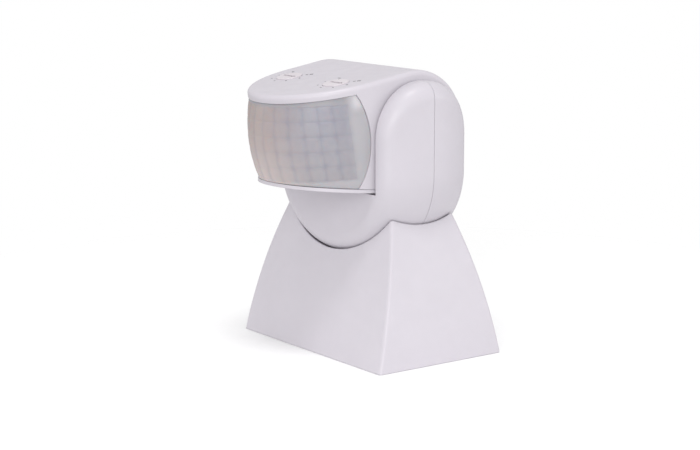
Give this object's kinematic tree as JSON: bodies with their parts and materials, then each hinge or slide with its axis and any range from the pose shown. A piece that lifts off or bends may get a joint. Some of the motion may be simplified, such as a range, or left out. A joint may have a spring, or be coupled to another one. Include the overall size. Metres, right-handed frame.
{
  "type": "motion sensor",
  "caption": "Wall or table motion sensor with a flared base, a swivelling yoke and a tilting head behind a frosted faceted lens.",
  "frame": {"origin": "centre of the flat mounting face of the base, on the swivel axis", "axes": "+Z along the swivel axis, away from the wall or table; the lens faces -Y at rest; +X across, along the tilt axis"},
  "size_m": [0.084, 0.0743, 0.1003],
  "materials": {
    "white_shell": "satin moulded white",
    "inner_plastic": "moulded",
    "soft_rubber": "soft",
    "zinc_steel": "zinc plated",
    "terminal_plastic": "moulded",
    "terminal_brass": "plain",
    "lead_insulation": "insulated wire",
    "frosted_lens": "frosted translucent",
    "circuit_board": "solder mask",
    "sensor_can": "nickel",
    "sensor_glass": "dark filter",
    "light_cell": "coated cell",
    "relay_case": "moulded",
    "film_case": "moulded",
    "capacitor_sleeve": "sleeved",
    "varistor_coat": "dipped",
    "trimmer_case": "moulded",
    "dial_plastic": "moulded white"
  },
  "bodies": {
    "base": {"base_cover": "white_shell", "wall_plate": "inner_plastic", "cable_grommet": "soft_rubber", "cover_screws": "zinc_steel", "terminal_block": "terminal_plastic", "terminal_clamps": "terminal_brass", "terminal_screws": "zinc_steel", "base_leads": "lead_insulation"},
    "yoke": {"yoke_front_shell": "white_shell", "yoke_rear_shell": "white_shell", "yoke_screws": "zinc_steel", "swivel_tube": "inner_plastic", "neck_washer": "soft_rubber", "neck_nut": "inner_plastic", "pivot_washers": "soft_rubber", "neck_leads": "lead_insulation"},
    "head": {"head_housing": "white_shell", "head_tray": "white_shell", "tray_screws": "zinc_steel", "lens": "frosted_lens", "main_board": "circuit_board", "board_screws": "zinc_steel", "sensor_board": "circuit_board", "infrared_sensor": "sensor_can", "sensor_window": "sensor_glass", "light_sensor": "light_cell", "relay": "relay_case", "film_capacitor": "film_case", "electrolytic_capacitors": "capacitor_sleeve", "varistor": "varistor_coat", "lead_socket": "terminal_plastic", "head_leads": "lead_insulation", "trimmers": "trimmer_case", "dial_seals": "soft_rubber"},
    "time_knob": {"time_dial": "dial_plastic"},
    "light_knob": {"light_dial": "dial_plastic"}
  },
  "joints": [
    {"name": "yoke_swivel", "type": "hinge", "parent": "base", "child": "yoke", "pos_m": [0, 0, 0.03], "axis": [0, 0, 1], "range_deg": [-90, 90]},
    {"name": "head_tilt", "type": "hinge", "parent": "yoke", "child": "head", "pos_m": [0, 0.0002, 0.08], "axis": [-1, 0, 0], "range_deg": [0, 110]},
    {"name": "time_turn", "type": "hinge", "parent": "head", "child": "time_knob", "pos_m": [-0.0141, -0.025, 0.09629], "axis": [0, -0.1685, 0.9857], "range_deg": [-225, 45]},
    {"name": "light_turn", "type": "hinge", "parent": "head", "child": "light_knob", "pos_m": [0.0141, -0.025, 0.09629], "axis": [0, -0.1685, 0.9857], "range_deg": [-225, 45]}
  ]
}
